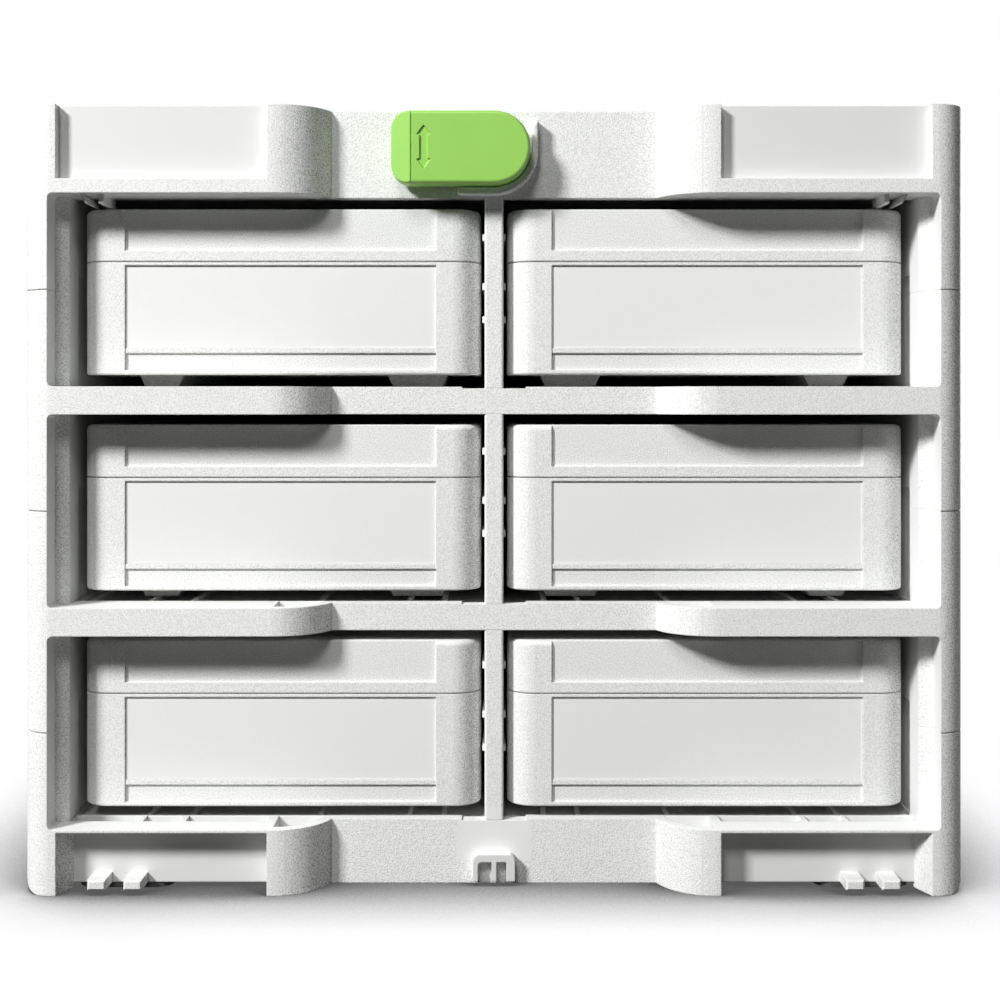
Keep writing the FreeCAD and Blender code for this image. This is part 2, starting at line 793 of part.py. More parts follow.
def top_cover():
    """Cover plate inside the rim of the header, with the well for the handle."""
    top = rack_height - cover_drop
    under = top - cover_thickness
    plate = prism(banded_outline(skin + fit_gap), (under, top))
    half = well_width / 2
    well_y = (-handle_reach - well_gap, handle_boss_radius + seat_gap + skin)
    around = rectangle((-half - skin, half + skin), (well_y[0] - skin, well_y[1] + skin), well_radius + skin)
    outer = prism(around, (top - well_height - skin, under + fit_gap))
    inner = prism(rectangle((-half, half), well_y, well_radius), (top - well_height, top + deep))
    cover = joined([plate, outer]).cut(inner)
    axis_z = top - handle_thickness / 2 - seat_gap
    boss_y = (-handle_boss_radius, well_y[1] + fit_gap)
    boss_z = (top - well_height - fit_gap, top - cover_thickness)
    bosses = []
    bores = []
    for side in side_signs:
        bosses.append(block((side * (half + fit_gap), side * (half - handle_boss_width)), boss_y, boss_z))
        bores.append(rod(handle_pin_radius, V(side * (half + deep), 0, axis_z),
                         handle_boss_width + 2 * deep, V(-side, 0, 0)))
    cover = joined([cover] + bosses).cut(bores)
    clear = prism(recess_outline(skin + fit_gap), (under - deep, top + deep))
    stacks = []
    for side in side_signs:
        for rear in side_signs:
            stacks.append(prism(foot_face(side, rear, -seat_gap), (top - stack_recess, top + deep)))
    return cover.cut([clear, mirrored(clear)] + stacks)


def handle():
    """Flat bail that folds into its well and turns up about two pins."""
    top = rack_height - cover_drop - seat_gap
    outer = well_width / 2 - handle_boss_width - seat_gap
    inner = outer - handle_arm
    rear = handle_thickness / 2
    bar_rear = handle_bar - handle_reach
    flat = face([(-outer, -handle_reach, handle_radius), (outer, -handle_reach, handle_radius),
                 (outer, rear, 0), (inner, rear, 0), (inner, bar_rear, handle_radius / 2),
                 (-inner, bar_rear, handle_radius / 2), (-inner, rear, 0), (-outer, rear, 0)])
    bail = prism(flat, (top - handle_thickness, top))
    bail = rounded_edges(bail, rear - fit_gap,
                         lambda edge: runs_along(edge, x_axis) and edge.BoundBox.YMin > rear - touch)
    bail = rounded_edges(bail, handle_round,
                         lambda edge: runs_along(edge, x_axis) and edge.BoundBox.YMax < bar_rear + touch)
    bores = [rod(handle_pin_radius + running_gap, V(side * (outer + deep), 0, top - rear),
                 handle_pin_length - handle_boss_width + 2 * deep, V(-side, 0, 0)) for side in side_signs]
    return bail.cut(bores)


def handle_pins():
    """Two pins from the bosses in the well into the bail's arms."""
    start = well_width / 2
    axis_z = rack_height - cover_drop - handle_thickness / 2 - seat_gap
    return [rod(handle_pin_radius, V(side * start, 0, axis_z), handle_pin_length, V(-side, 0, 0))
            for side in side_signs]


# ---------------------------------------------------------------- latch

def latch_lever():
    """Hollow lever with a round pivot end and a sloped grip end, open at the back to hook over a lug."""
    pivot_round = lever_radius - fit_gap
    flat = face([(-lever_tail, -lever_radius, lever_tail_radius), (lever_radius, -lever_radius, pivot_round),
                 (lever_radius, lever_radius, pivot_round), (-lever_tail, lever_radius, lever_tail_radius)])
    y = (front + lever_front, front + lever_front + lever_thickness)
    lever = upright(flat, y)
    lever = rounded_edges(lever, lever_round, at_front(y[0]))
    bend = lever_end - lever_tail
    tip = -lever_tail - deep
    slope = face([(bend, y[0], 0), (tip, y[0] - deep, 0), (tip, y[0] + lever_slope, 0)])
    wedge = prism(slope, (-lever_radius - deep, lever_radius + deep))
    score = block((bend - lever_groove / 2, bend + lever_groove / 2), (y[0] - deep, y[0] + lever_groove),
                  (-lever_radius - deep, lever_radius + deep))
    hollow = face([(lever_wall - lever_tail, lever_wall - lever_radius, lever_tail_radius - lever_wall),
                   (-boss_radius, lever_wall - lever_radius, 2), (-boss_radius, lever_radius - lever_wall, 2),
                   (lever_wall - lever_tail, lever_radius - lever_wall, lever_tail_radius - lever_wall)])
    cavity = upright(hollow, (y[0] + lever_slope + lever_wall, y[1] + deep))
    web = block((-lug_width / 2 - boss_radius - lever_wall, -lug_width / 2 - boss_radius),
                (y[0] + lever_slope + lever_wall - fit_gap, y[1] - lever_wall),
                (lever_wall - lever_radius - fit_gap, lever_radius - lever_wall + fit_gap))
    bore = rod(pin_radius, V(0, y[1] - pin_bite, 0), pin_bite + deep, y_axis)
    lever = lever.cut([wedge, score, cavity]).fuse(web).cut(bore)
    lever.translate(V(0, 0, pivot_z))
    return lever


def latch_pin():
    """Headed pivot pin, pressed into the lever from inside the header."""
    tip = front + lever_front + lever_thickness - pin_bite
    seat = band_face + skin + washer_thickness
    shaft = rod(pin_radius, V(0, tip, pivot_z), seat - tip, y_axis)
    head = rod(pin_head_radius, V(0, seat, pivot_z), pin_head_height, y_axis)
    return joined([shaft, head])


def latch_washer():
    """Friction washer between the pin's head and the header wall."""
    ring = rod(pin_head_radius + running_gap, V(0, band_face + skin, pivot_z), washer_thickness, y_axis)
    return ring.cut(rod(pin_radius + running_gap, V(0, band_face, pivot_z), band_recess, y_axis))


# ---------------------------------------------------------------- divider, back panel, feet

def divider(row):
    """Divider of one row: front post, thin web with tenons and guide ribs on both faces."""
    floor = row_floor(row)
    low = floor - deck_drop
    high = floor + row_opening
    half = post_width / 2
    post = block((-half, half), (band_face, band_face + post_depth), (floor - notch_depth, high))
    post = rounded_edges(post, post_round,
                         lambda edge: runs_along(edge, z_axis) and edge.BoundBox.YMax < band_face + touch)
    foot = block((-half, half), (beam_back, deck_back), (low, floor))
    web = block((-divider_web / 2, divider_web / 2), (band_face + post_depth, deck_back),
                (floor - notch_depth, high))
    rear = block((-divider_web / 2, divider_web / 2), (beam_back, deck_back),
                 (low - divider_slot, high + divider_slot))
    ribs = []
    for height in divider_ribs:
        ribs.append(block((-divider_rib_tip, divider_rib_tip),
                          (band_face + post_depth, deck_back - 2 * wall_end),
                          (floor + height, floor + height + divider_rib_height)))
    return joined([post, foot, web, rear] + ribs)


def back_panel():
    """Panel in the rear rebate, which ties the stacked mouldings together."""
    half = wall_half + back_border - fit_gap
    low = deck_height - back_overlap + fit_gap
    high = ceiling + back_overlap - fit_gap
    panel = block((-half, half), (deck_back, back), (low, high))
    fields = []
    for row in range(row_count):
        for side in side_signs:
            inner = side * back_field_margin
            outer = side * (wall_half - back_field_margin)
            limits = (min(inner, outer), max(inner, outer))
            flat = rectangle(limits, (row_floor(row) + back_field_margin / 2,
                                      row_floor(row) + row_opening - back_field_margin / 2), well_radius)
            fields.append(upright(flat, (back - back_field_depth, back + deep)))
    holes = []
    length = back_thickness + 2 * deep
    for x, z in screw_places():
        holes.append(rod(screw_radius + running_gap, V(x, deck_back - deep, z), length, y_axis))
        holes.append(screw_head(x, z, running_gap))
    return panel.cut(fields + holes)


def screw_head(x, z, gap=0.0):
    """Countersunk head, flush with the back panel."""
    start = V(x, back - screw_head_height, z)
    return Part.makeCone(screw_radius + gap, screw_head_radius + gap, screw_head_height, start, y_axis)


def back_screws():
    """Countersunk screws of the back panel."""
    screws = []
    for x, z in screw_places():
        shank = rod(screw_radius, V(x, back - screw_length, z), screw_length - screw_head_height, y_axis)
        screws.append(joined([shank, screw_head(x, z)]))
    return screws


def foot_pads():
    """Four soft oblong pads, plugged into the feet of the base."""
    pads = []
    for side in side_signs:
        for rear in side_signs:
            pad = prism(foot_face(side, rear), (0, foot_pad_height))
            plug = prism(foot_face(side, rear, skin + fit_gap),
                         (foot_pad_height, foot_pad_height + foot_plug))
            pads.append(joined([pad, plug]))
    return pads


# ---------------------------------------------------------------- boxes, drawn in place at the lowest right

def box_outline(inset=0.0, front_inset=None):
    """Plan of a box, moved inwards by inset, and by front_inset at the front."""
    fore = inset if front_inset is None else front_inset
    return rectangle((box_inner + inset, box_inner + box_width - inset),
                     (band_face + fore, box_back - inset), max(box_radius - inset, skin))


def box_tub():
    """Lower shell of a box: front recess with a card lip, skids below, two hinge knuckles behind."""
    low = deck_height + box_lift
    rim = low + tub_height
    shell = prism(box_outline(), (low, rim - seam_height))
    shell = rounded_edges(shell, tub_chamfer, lambda edge: edge.BoundBox.ZMax < low + touch)
    neck = prism(box_outline(seam_inset), (rim - seam_height, rim))
    skids = []
    root = low + fit_gap
    foot = deck_height + fit_gap
    for place, top_width in zip(skid_places, skid_tops):
        half = top_width / 2
        sole = half - skid_taper / 2
        flat = face([(place - half, root, 0), (place - sole, foot, 0),
                     (place + sole, foot, 0), (place + half, root, 0)])
        skids.append(upright(flat, (band_face + skid_front, box_back - skid_back)))
    knuckles = []
    for side in side_signs:
        knuckles += knuckle(box_middle + side * knuckle_place, rim, down)
    body = joined([shell, neck] + skids + knuckles)
    cavity = prism(box_outline(box_wall, box_wall + panel_depth), (low + box_floor, rim + deep))
    panel_x = (box_middle - panel_half, box_middle + panel_half)
    panel = upright(rectangle(panel_x, (low + panel_bottom, low + panel_top)),
                    (band_face - deep, band_face + panel_depth))
    card_lip = block(panel_x, (band_face + seat_gap, band_face + panel_depth),
                     (low + card_lip_bottom, low + card_lip_top))
    bore = hinge_bore(rim)
    return body.cut([cavity, panel.cut(card_lip), bore]).removeSplitter()


def knuckle(x, rim, direction):
    """Half of the hinge at one place: a barrel and the arm that carries it, below or above the seam."""
    half = knuckle_width / 2
    barrel = rod(knuckle_radius, V(x - half, hinge_y, rim), knuckle_width, x_axis)
    arm = block((x - half, x + half), (box_back - fit_gap, hinge_y),
                (rim + direction * (seam_height + fit_gap), rim + direction * knuckle_radius))
    return [barrel, arm]


def hinge_bore(rim):
    """Tool for the bore through a row of knuckles."""
    return rod(hinge_pin_radius + running_gap, V(box_inner, hinge_y, rim), box_width, x_axis)


def box_lid():
    """Upper shell of a box: recess open towards the top, inner lip and one long hinge knuckle."""
    rim = deck_height + box_lift + tub_height
    top = rim + lid_height
    shell = prism(box_outline(), (rim, top))
    shell = rounded_edges(shell, lid_round, lambda edge: edge.BoundBox.ZMin > top - touch)
    lip_inset = box_wall + fit_gap
    lip_front = lip_inset + panel_depth
    lip = prism(box_outline(lip_inset, lip_front), (rim - lid_lip_depth, rim + seat_gap))
    throat = prism(box_outline(lip_inset + lid_lip_wall, lip_front + lid_lip_wall),
                   (rim - lid_lip_depth - deep, rim + lid_lip_depth + fit_gap))
    cavity = prism(box_outline(box_wall, box_wall + panel_depth), (rim + lid_lip_depth, top - box_floor))
    knuckles = []
    for side in side_signs:
        knuckles += knuckle(box_middle + side * (knuckle_place - knuckle_width - 2 * seat_gap), rim, up)
    body = joined([shell, lip] + knuckles)
    panel_x = (box_middle - panel_half, box_middle + panel_half)
    panel = upright(rectangle(panel_x, (rim + lid_panel_rise, top + deep)),
                    (band_face - deep, band_face + panel_depth))
    field = prism(box_outline(lid_top_border), (top - lid_top_recess, top + deep))
    return body.cut([throat, cavity, panel, field, hinge_bore(rim)])


def box_hinge_pin():
    """Steel pin through the knuckles."""
    rim = deck_height + box_lift + tub_height
    reach = knuckle_place + knuckle_width / 2
    return rod(hinge_pin_radius, V(box_middle - reach, hinge_y, rim), 2 * reach, x_axis)


def box_card():
    """Blank card that stands behind the card lip."""
    low = deck_height + box_lift
    half = panel_half - fit_gap
    rear = band_face + panel_depth
    return block((box_middle - half, box_middle + half), (rear - card_thickness, rear),
                 (low + card_lip_top + fit_gap, low + panel_top - fit_gap))


def box_insert():
    """Moulded insert: plate on skirts with bosses whose bores take the shanks of the cutters."""
    low = deck_height + box_lift + box_floor
    top = low + insert_height
    inset = box_wall + seat_gap
    fore = inset + panel_depth
    body = prism(box_outline(inset, fore), (low, top)).cut(
        prism(box_outline(inset + insert_wall, fore + insert_wall), (low - deep, top - insert_top)))
    bosses = []
    bores = []
    column_pitch = (box_width - 2 * box_radius) / bore_columns
    row_space = (box_depth - 2 * box_radius) / bore_rows
    for column in range(bore_columns):
        for row in range(bore_rows):
            x = box_inner + box_radius + (column + 0.5) * column_pitch
            y = band_face + box_radius + (row + 0.5) * row_space
            bosses.append(rod(bore_radius + bore_boss_wall, V(x, y, top - bore_depth),
                              bore_depth - fit_gap, z_axis))
            bores.append(rod(bore_radius, V(x, y, top - bore_depth - deep), bore_depth + 2 * deep, z_axis))
    return joined([body] + bosses).cut(bores)


# ---------------------------------------------------------------- write the nodes

os.makedirs("parts", exist_ok=True)

save("base_moulding", base_moulding())
save("lower_shelf_moulding", shelf_moulding(1))
save("upper_shelf_moulding", shelf_moulding(2))
save("top_moulding", top_moulding())
save("top_cover", top_cover())
save("carry_handle", handle())
save("handle_pins", handle_pins())
save("latch_lever", latch_lever())
save("latch_pin", latch_pin())
save("latch_washer", latch_washer())
save("back_panel", back_panel())
save("back_panel_screws", back_screws())
save("foot_pads", foot_pads())

row_names = ("lower", "middle", "upper")
side_names = ("left", "right")
box_pieces = {"tub": box_tub(), "lid": box_lid(), "hinge_pin": box_hinge_pin(), "label_card": box_card(),
              "bit_insert": box_insert()}

for row, row_name in enumerate(row_names):
    save(row_name + "_divider", divider(row))
    for side, side_name in zip(side_signs, side_names):
        for piece_name, piece in box_pieces.items():
            placed = piece.copy() if side > 0 else mirrored(piece)
            placed.translate(V(0, 0, row * row_pitch))
            save(row_name + "_" + side_name + "_" + piece_name, placed)
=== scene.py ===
import bpy
import json
import math
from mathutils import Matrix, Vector


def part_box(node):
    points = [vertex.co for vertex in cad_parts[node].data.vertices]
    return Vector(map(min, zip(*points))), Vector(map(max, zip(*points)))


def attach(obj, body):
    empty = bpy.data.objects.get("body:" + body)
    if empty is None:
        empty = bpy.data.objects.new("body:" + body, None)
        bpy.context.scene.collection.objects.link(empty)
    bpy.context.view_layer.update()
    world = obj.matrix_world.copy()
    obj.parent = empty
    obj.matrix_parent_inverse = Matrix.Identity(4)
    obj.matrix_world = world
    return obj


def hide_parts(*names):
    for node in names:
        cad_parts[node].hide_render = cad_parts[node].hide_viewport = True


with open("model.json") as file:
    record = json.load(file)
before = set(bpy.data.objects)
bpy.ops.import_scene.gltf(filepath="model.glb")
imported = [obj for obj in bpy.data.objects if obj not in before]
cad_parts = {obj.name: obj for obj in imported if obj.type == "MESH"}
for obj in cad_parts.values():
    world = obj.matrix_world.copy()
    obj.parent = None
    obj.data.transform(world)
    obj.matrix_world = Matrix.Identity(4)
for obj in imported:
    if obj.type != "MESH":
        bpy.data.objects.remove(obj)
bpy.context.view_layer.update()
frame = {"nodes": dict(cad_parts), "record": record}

# ---------------------------------------------------------------- sizes, in metres

rack_low, rack_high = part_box("top_moulding")
front = rack_low[1]
rear = rack_high[1]
half_width = rack_high[0]
band_recess = 0.0168         # of the middle band, behind the cheeks' faces
band_face = front + band_recess
lever_low, lever_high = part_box("latch_lever")
pivot_z = (lever_low[2] + lever_high[2]) / 2

# ---------------------------------------------------------------- camera

camera_distance = 0.600      # in front of the rack
camera_height = 0.2108
camera_lens = 50.8
camera_sight = (0.02, 20.0)  # nearest and farthest
picture_size = 1000
axis_pixel = (494.0, 400.5)  # where the camera's axis meets the picture


def place_camera():
    """Level camera, looking straight at the front, with the picture shifted down."""
    data = bpy.data.cameras.new("camera")
    data.lens = camera_lens
    data.shift_x = (picture_size / 2 - axis_pixel[0]) / picture_size
    data.shift_y = (axis_pixel[1] - picture_size / 2) / picture_size
    data.clip_start, data.clip_end = camera_sight
    camera = bpy.data.objects.new("camera", data)
    camera.location = (0.0, front - camera_distance, camera_height)
    camera.rotation_euler = (math.pi / 2, 0.0, 0.0)
    bpy.context.collection.objects.link(camera)
    bpy.context.scene.camera = camera


# ---------------------------------------------------------------- material helpers

def new_material(name, specular=0.5, roughness=0.5):
    """New material with its node tree, its shader and object coordinates."""
    material = bpy.data.materials.new(name)
    material.use_nodes = True
    tree = material.node_tree
    shader = tree.nodes["Principled BSDF"]
    shader.inputs["Roughness"].default_value = roughness
    shader.inputs["Specular IOR Level"].default_value = specular
    place = tree.nodes.new("ShaderNodeTexCoord").outputs["Object"]
    return material, tree, shader, place


def noise(tree, place, scale, detail=2.0, roughness=0.5):
    """Noise with spots of about 1 / scale metres."""
    node = tree.nodes.new("ShaderNodeTexNoise")
    node.inputs["Scale"].default_value = scale
    node.inputs["Detail"].default_value = detail
    node.inputs["Roughness"].default_value = roughness
    tree.links.new(place, node.inputs["Vector"])
    return node.outputs["Fac"]


def math_node(tree, operation, first, second=None, third=None, clamp=False):
    """One Math node, from sockets or numbers."""
    node = tree.nodes.new("ShaderNodeMath")
    node.operation = operation
    node.use_clamp = clamp
    for index, value in enumerate((first, second, third)):
        if value is None:
            continue
        if isinstance(value, (int, float)):
            node.inputs[index].default_value = value
        else:
            tree.links.new(value, node.inputs[index])
    return node.outputs[0]


def ramp(tree, value, stops):
    """Colour ramp through (position, colour) stops."""
    node = tree.nodes.new("ShaderNodeValToRGB")
    node.color_ramp.elements[0].position = stops[0][0]
    node.color_ramp.elements[0].color = (*stops[0][1], 1.0)
    node.color_ramp.elements[1].position = stops[-1][0]
    node.color_ramp.elements[1].color = (*stops[-1][1], 1.0)
    for position, colour in stops[1:-1]:
        element = node.color_ramp.elements.new(position)
        element.color = (*colour, 1.0)
    tree.links.new(value, node.inputs["Fac"])
    return node.outputs["Color"]


def mix_colour(tree, factor, first, second, blend="MIX"):
    """Mix of two colours, from sockets or tuples."""
    node = tree.nodes.new("ShaderNodeMix")
    node.data_type = "RGBA"
    node.blend_type = blend
    colour_a, colour_b = node.inputs[6], node.inputs[7]      # those before them mix numbers
    for socket, value in ((node.inputs["Factor"], factor), (colour_a, first), (colour_b, second)):
        if isinstance(value, tuple):
            socket.default_value = (*value, 1.0)
        elif isinstance(value, (int, float)):
            socket.default_value = value
        else:
            tree.links.new(value, socket)
    mixed_colour = node.outputs[2]
    return mixed_colour


def bump(tree, height, strength, distance, normal=None):
    """Bump from a height, on top of another normal."""
    node = tree.nodes.new("ShaderNodeBump")
    node.inputs["Distance"].default_value = distance
    if isinstance(strength, (int, float)):
        node.inputs["Strength"].default_value = strength
    else:
        tree.links.new(strength, node.inputs["Strength"])
    tree.links.new(height, node.inputs["Height"])
    if normal is not None:
        tree.links.new(normal, node.inputs["Normal"])
    return node.outputs["Normal"]


def vary_roughness(tree, shader, grain, least, spread):
    """Roughness that follows a grain, from least to least + spread."""
    roughness = math_node(tree, "MULTIPLY_ADD", grain, spread, least)
    tree.links.new(roughness, shader.inputs["Roughness"])


def eased_edges(tree, radius):
    """Normal that rounds the sharp edges of a moulding, and 1 on such an edge, 0 away from it."""
    bevel = tree.nodes.new("ShaderNodeBevel")
    bevel.samples = 4
    bevel.inputs["Radius"].default_value = radius
    flat = tree.nodes.new("ShaderNodeNewGeometry").outputs["Normal"]
    likeness = tree.nodes.new("ShaderNodeVectorMath")
    likeness.operation = "DOT_PRODUCT"
    tree.links.new(bevel.outputs["Normal"], likeness.inputs[0])
    tree.links.new(flat, likeness.inputs[1])
    turned = math_node(tree, "SUBTRACT", 1.0, likeness.outputs["Value"], clamp=True)
    edge = math_node(tree, "MULTIPLY", turned, edge_gain, clamp=True)
    return bevel.outputs["Normal"], edge


def times(colour, factor):
    """A colour made darker or lighter."""
    return tuple(min(1.0, channel * factor) for channel in colour)


def shades(tree, value, colour, stops):
    """Colour ramp through (position, factor) stops of one colour."""
    return ramp(tree, value, [(position, times(colour, factor)) for position, factor in stops])


# ---------------------------------------------------------------- finishes

housing_colour = (0.820, 0.826, 0.808)
box_colour = (0.800, 0.806, 0.788)
card_colour = (0.815, 0.820, 0.800)
latch_colour = (0.318, 0.645, 0.112)
insert_colour = (0.030, 0.031, 0.033)
washer_colour = (0.070, 0.070, 0.070)

# colours at places along a noise, which runs from 0 to 1
rubber_tones = (0.35, (0.060, 0.060, 0.062)), (0.7, (0.125, 0.122, 0.118))
steel_tones = (0.3, (0.52, 0.53, 0.54)), (0.7, (0.66, 0.66, 0.65))

# shades of one colour at such places, as factors on it
pale_grain = (0.28, 0.79), (0.50, 1.00), (0.70, 1.10)
# painted shade: a darker, harsher grain for the faces that look right, away from the key light
shaded_side_grain = (0.30, 0.38), (0.50, 1.00), (0.66, 1.32)
faint_spots = (0.3, 0.985), (0.7, 1.01)
latch_spots = (0.3, 0.98), (0.7, 1.02)
dark_spots = (0.3, 0.85), (0.7, 1.15)

painted_recess_shade = 0.89            # painted shade: the sunk floors a little darker than the faces around them
worn_shade = 1.08            # of a moulding's edges
polished_shade = 1.15        # of the latch's edges

edge_gain = 4.0              # how fast wear sets in where an edge turns
edge_wear = 0.35             # share of the worn colour on a moulding's edge
edge_polish = 0.3            # share of the polished colour on a latch's edge
moulding_edge = 0.0007       # radius of a moulding's eased edges
latch_edge = 0.0006

grain_scale = 1900.0         # grains in a metre
grain_relief = 0.0009
grain_strength = 0.25        # of the bump on grained faces
smooth_strength = 0.03       # on the rack's smooth faces, and added on its grained ones
box_grain_and_side_shade = 0.9              # share of the grain's colour, with its painted side shade, on the boxes
shaded_side_gain = 1.1              # how fast the painted side shade sets in as a face turns right

upright_face = 0.2           # a face that looks forward or back by at least this much is upright
flat_face = 0.98             # and by at least this much it is flat
skin_margin = 0.0006         # keeps a mask clear of the faces at its limits
band_margin = 0.0001         # takes the band's own face into the mask
back_margin = 0.0040
side_margin = 0.0015

smooth_half_width = 0.0164   # the polished place round the catch lug, on the base band
smooth_bottom = 0.0100
smooth_top = 0.0330


def split(tree, vector):
    """X, Y and Z of a vector."""
    node = tree.nodes.new("ShaderNodeSeparateXYZ")
    tree.links.new(vector, node.inputs[0])
    return node.outputs["X"], node.outputs["Y"], node.outputs["Z"]


def face_direction(tree):
    """X, Y and Z of the direction that a face looks in."""
    return split(tree, tree.nodes.new("ShaderNodeNewGeometry").outputs["True Normal"])


def sunk_floor(tree, place):
    """1 on the flat faces between front plane and band, such as the header's recess floors."""
    along = split(tree, place)[1]
    facing = face_direction(tree)
    flat = math_node(tree, "GREATER_THAN", math_node(tree, "ABSOLUTE", facing[1]), flat_face)
    past_front = math_node(tree, "GREATER_THAN", along, front + skin_margin)
    before_band = math_node(tree, "LESS_THAN", along, band_face - skin_margin)
    return math_node(tree, "MULTIPLY", flat, math_node(tree, "MULTIPLY", past_front, before_band))


def grain_mask(tree, place, sunk):
    """1 on the rack's spark-eroded outer faces, 0 on ledges, sunk floors and inner walls."""
    x, y, z = split(tree, place)
    facing = face_direction(tree)
    across = math_node(tree, "ABSOLUTE", x)
    upright = math_node(tree, "GREATER_THAN", math_node(tree, "ABSOLUTE", facing[1]), upright_face)
    before = math_node(tree, "LESS_THAN", y, band_face + band_margin)
    behind = math_node(tree, "GREATER_THAN", y, rear - back_margin)
    outer = math_node(tree, "MULTIPLY", upright, math_node(tree, "MAXIMUM", before, behind))
    side = math_node(tree, "GREATER_THAN", across, half_width - side_margin)
    rough = math_node(tree, "MAXIMUM", outer, side)
    beside = math_node(tree, "LESS_THAN", across, smooth_half_width)
    above = math_node(tree, "GREATER_THAN", z, smooth_bottom)
    below = math_node(tree, "LESS_THAN", z, smooth_top)
    smooth = math_node(tree, "MULTIPLY", beside, math_node(tree, "MULTIPLY", above, below))
    return math_node(tree, "SUBTRACT", rough, math_node(tree, "MAXIMUM", smooth, sunk), clamp=True)


def moulded_plastic(name, colour, masked):
    """Warm white plastic with a spark-eroded grain, and painted shade: the grain is darker and
    harsher on the faces that look right, away from the key light.

    A masked one has the grain on the rack's outer faces only, and painted shade on its sunk
    floors.
    """
    material, tree, shader, place = new_material(name, specular=0.4)
    grain = noise(tree, place, grain_scale, detail=0.5)
    pale = shades(tree, grain, colour, pale_grain)
    shaded_speckle = shades(tree, grain, colour, shaded_side_grain)
    # painted shade: faces that look right, away from the key light, get the darker, harsher grain
    shaded_side = math_node(tree, "MULTIPLY", face_direction(tree)[0], shaded_side_gain, clamp=True)
    speckle_and_side_shade = mix_colour(tree, shaded_side, pale, shaded_speckle)
    cloud = shades(tree, noise(tree, place, scale=9.0, detail=3.0), colour, faint_spots)
    rounded, edge = eased_edges(tree, moulding_edge)
    if masked:
        sunk = sunk_floor(tree, place)
        mask = grain_mask(tree, place, sunk)
        grained_and_side_shaded = mix_colour(tree, mask, cloud, speckle_and_side_shade)
        # painted shade: the sunk floors a little darker than the faces around them
        body = mix_colour(tree, sunk, grained_and_side_shaded, times(colour, painted_recess_shade))
        strength = math_node(tree, "MULTIPLY_ADD", mask, grain_strength, smooth_strength)
    else:
        body = mix_colour(tree, box_grain_and_side_shade, cloud, speckle_and_side_shade)
        strength = grain_strength
    wear = math_node(tree, "MULTIPLY", edge, edge_wear)
    worn_with_painted_shade = mix_colour(tree, wear, body, times(colour, worn_shade))
    tree.links.new(worn_with_painted_shade, shader.inputs["Base Color"])
    vary_roughness(tree, shader, grain, least=0.42, spread=0.25)
    tree.links.new(bump(tree, grain, strength, grain_relief, rounded), shader.inputs["Normal"])
    return material


def card_stock():
    """Smooth blank card with a faint fibre."""
    material, tree, shader, place = new_material("label_card_stock", specular=0.3, roughness=0.6)
    fibre = noise(tree, place, scale=900.0, detail=4.0, roughness=0.7)
    tree.links.new(shades(tree, fibre, card_colour, faint_spots), shader.inputs["Base Color"])
    tree.links.new(bump(tree, fibre, strength=0.05, distance=0.0002), shader.inputs["Normal"])
    return material


def latch_plastic():
    """Green lever plastic: satin, with a very fine grain and slightly polished edges."""
    material, tree, shader, place = new_material("latch_green", specular=0.45)
    grain = noise(tree, place, scale=2200.0)
    tone = shades(tree, noise(tree, place, scale=60.0), latch_colour, latch_spots)
    rounded, edge = eased_edges(tree, latch_edge)
    polish = math_node(tree, "MULTIPLY", edge, edge_polish)
    polished = mix_colour(tree, polish, tone, times(latch_colour, polished_shade))
    tree.links.new(polished, shader.inputs["Base Color"])
    vary_roughness(tree, shader, grain, least=0.28, spread=0.2)
    relief = bump(tree, grain, strength=0.08, distance=0.0003, normal=rounded)
    tree.links.new(relief, shader.inputs["Normal"])
    return material


def dark_plastic(name, colour):
    """Dark satin plastic of the inserts and the washer."""
    material, tree, shader, place = new_material(name)
    grain = noise(tree, place, scale=1100.0, detail=3.0)
    tree.links.new(shades(tree, grain, colour, dark_spots), shader.inputs["Base Color"])
    vary_roughness(tree, shader, grain, least=0.4, spread=0.2)
    tree.links.new(bump(tree, grain, strength=0.25, distance=0.0004), shader.inputs["Normal"])
    return material


def foot_rubber():
    """Soft matte rubber, scuffed all over."""
    material, tree, shader, place = new_material("foot_rubber", specular=0.3, roughness=0.85)
    scuff = noise(tree, place, scale=260.0, detail=5.0, roughness=0.7)
    tree.links.new(ramp(tree, scuff, rubber_tones), shader.inputs["Base Color"])
    tree.links.new(bump(tree, scuff, strength=0.2, distance=0.0004), shader.inputs["Normal"])
    return material


def zinc_steel():
    """Zinc-plated steel of pins and screws, with fine crystals in the plating."""
    material, tree, shader, place = new_material("zinc_steel")
    shader.inputs["Metallic"].default_value = 1.0
    crystals = noise(tree, place, scale=3000.0)
    tree.links.new(ramp(tree, crystals, steel_tones), shader.inputs["Base Color"])
    vary_roughness(tree, shader, crystals, least=0.25, spread=0.25)
    tree.links.new(bump(tree, crystals, strength=0.1, distance=0.0002), shader.inputs["Normal"])
    return material


def finish_nodes():
    """Give every CAD node the finish of its material slot."""
    finishes = {
        "housing": moulded_plastic("rack_plastic", housing_colour, masked=True),
        "box": moulded_plastic("box_plastic", box_colour, masked=False),
        "card": card_stock(),
        "latch": latch_plastic(),
        "insert": dark_plastic("insert_plastic", insert_colour),
        "washer": dark_plastic("washer_plastic", washer_colour),
        "rubber": foot_rubber(),
        "steel": zinc_steel(),
    }
    for part in frame["record"]["subparts"]:
        node = frame["nodes"][part["node"]]
        node.data.materials.clear()
        node.data.materials.append(finishes[part["material_slot"]])
    return finishes


# ---------------------------------------------------------------- pieces made by hand

